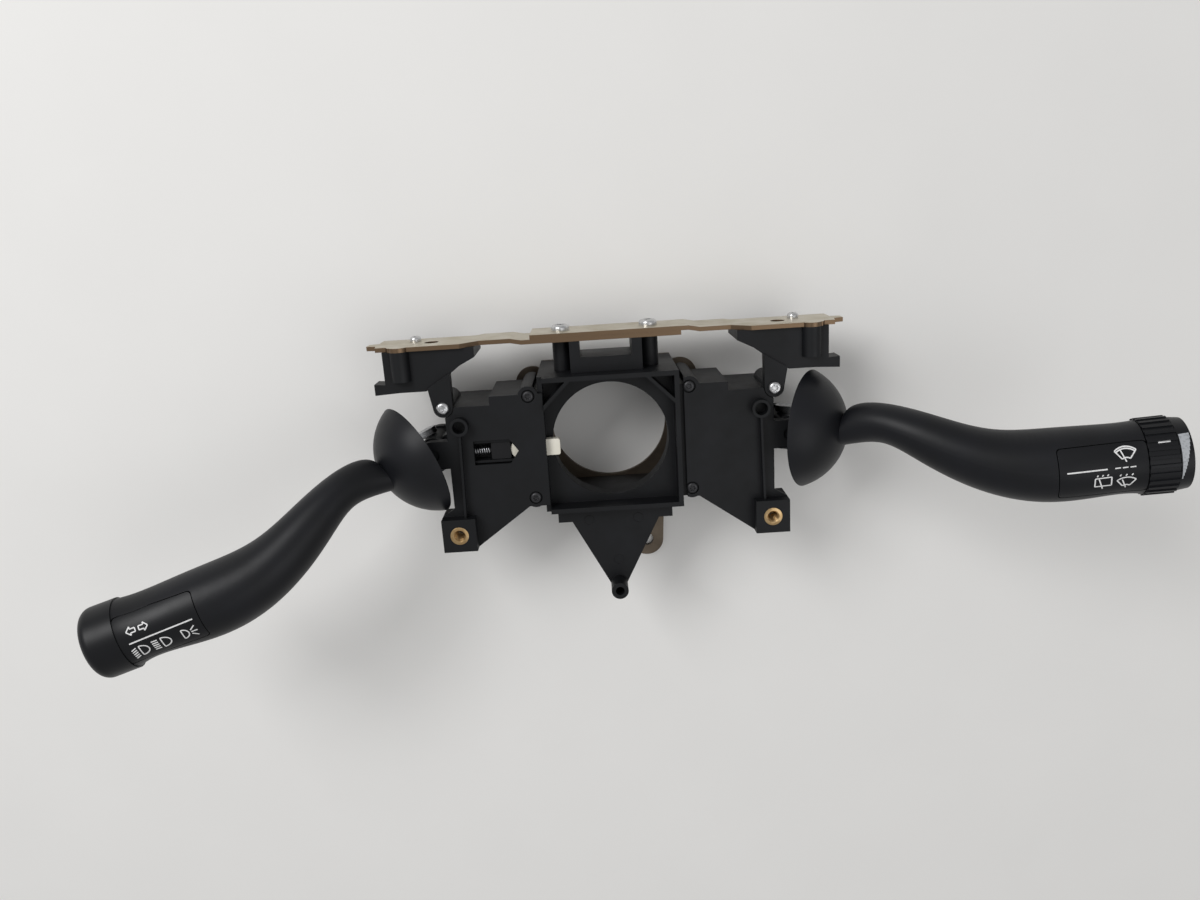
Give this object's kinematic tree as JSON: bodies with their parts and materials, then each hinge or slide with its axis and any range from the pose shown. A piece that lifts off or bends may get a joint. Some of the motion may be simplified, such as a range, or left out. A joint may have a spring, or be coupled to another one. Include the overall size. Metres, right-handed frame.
{
  "type": "combination stalk switch",
  "caption": "Steering-column combination switch: column housing with bore, two switch modules, curved stalks with domes, steel brackets and shroud fixings.",
  "frame": {"origin": "centre of the column bore at its front rim", "axes": "+Z along the column bore towards the driver, +X towards the wiper lever, +Y towards the steel brackets"},
  "size_m": [0.4665, 0.1302, 0.1107],
  "materials": {
    "housing_plastic": "moulded, fine texture",
    "grip_plastic": "soft grained",
    "white_plastic": "natural",
    "board": "laminate",
    "brass": "turned",
    "passivated_steel": "yellow passivated",
    "dark_steel": "brown passivated",
    "zinc_steel": "zinc plated",
    "bright_steel": "bright"
  },
  "bodies": {
    "housing": {"block_screws": "zinc_steel", "bracket_screws": "zinc_steel", "bracket_tower": "housing_plastic", "brass_inserts": "brass", "cancel_spring": "bright_steel", "column_housing": "housing_plastic", "column_tray": "housing_plastic", "cover_screws": "zinc_steel", "flange_plate": "dark_steel", "flange_screws": "zinc_steel", "left_bracket": "passivated_steel", "left_contact_board": "board", "left_detent_cam": "housing_plastic", "left_mounting_block": "housing_plastic", "left_switch_cover": "housing_plastic", "left_switch_housing": "housing_plastic", "left_terminals": "brass", "lug_screws": "zinc_steel", "right_bracket": "passivated_steel", "right_contact_board": "board", "right_detent_cam": "housing_plastic", "right_mounting_block": "housing_plastic", "right_switch_cover": "housing_plastic", "right_switch_housing": "housing_plastic", "right_terminals": "brass", "shroud_bracket": "housing_plastic"},
    "left_carrier": {"left_turn_carrier": "housing_plastic", "left_turn_contact": "brass", "left_detent_spring": "bright_steel"},
    "left_lever": {"left_lever_arm": "bright_steel", "left_cross_pin": "bright_steel", "left_stalk_front": "grip_plastic", "left_stalk_rear": "grip_plastic", "left_symbol_panel": "grip_plastic", "left_end_cap": "grip_plastic"},
    "left_detent": {"left_detent_plunger": "bright_steel"},
    "right_carrier": {"right_turn_carrier": "housing_plastic", "right_turn_contact": "brass", "right_detent_spring": "bright_steel"},
    "right_lever": {"right_lever_arm": "bright_steel", "right_cross_pin": "bright_steel", "right_stalk_front": "grip_plastic", "right_stalk_rear": "grip_plastic", "right_symbol_panel": "grip_plastic", "right_end_cap": "grip_plastic"},
    "right_detent": {"right_detent_plunger": "bright_steel"},
    "cancel_slide": {"cancel_pawl": "white_plastic", "cancel_plunger": "housing_plastic"},
    "interval_ring": {"interval_ring": "grip_plastic"}
  },
  "joints": [
    {"name": "left_turn", "type": "hinge", "parent": "housing", "child": "left_carrier", "pos_m": [-0.082, -0.001, -0.008], "axis": [0, 0, -1], "range_deg": [0, 21]},
    {"name": "left_pull", "type": "hinge", "parent": "left_carrier", "child": "left_lever", "pos_m": [-0.082, -0.001, -0.008], "axis": [-0.3762, 0.9265, 0], "range_deg": [-5, 5], "stiffness_Nm_per_rad": 12},
    {"name": "left_detent_travel", "type": "slide", "parent": "left_carrier", "child": "left_detent", "axis": [-0.9265, -0.3762, 0], "range_m": [0, 0.002], "stiffness_N_per_m": 50, "deforming": ["left_detent_spring"]},
    {"name": "right_wipe", "type": "hinge", "parent": "housing", "child": "right_carrier", "pos_m": [0.082, -0.001, -0.008], "axis": [0, 0, 1], "range_deg": [-21, 0]},
    {"name": "right_pull", "type": "hinge", "parent": "right_carrier", "child": "right_lever", "pos_m": [0.082, -0.001, -0.008], "axis": [-0.0192, -0.9998, 0], "range_deg": [-5, 5], "stiffness_Nm_per_rad": 12},
    {"name": "right_detent_travel", "type": "slide", "parent": "right_carrier", "child": "right_detent", "axis": [0.9998, -0.0192, 0], "range_m": [0, 0.002], "stiffness_N_per_m": 50, "deforming": ["right_detent_spring"]},
    {"name": "cancel_travel", "type": "slide", "parent": "housing", "child": "cancel_slide", "axis": [-1, 0, 0], "range_m": [0, 0.004], "stiffness_N_per_m": 150, "deforming": ["cancel_spring"]},
    {"name": "interval_turn", "type": "hinge", "parent": "right_lever", "child": "interval_ring", "pos_m": [0.21686, -0.00949, 0.04911], "axis": [0.9684, 0.1118, 0.223], "range_deg": [0, 70]}
  ]
}
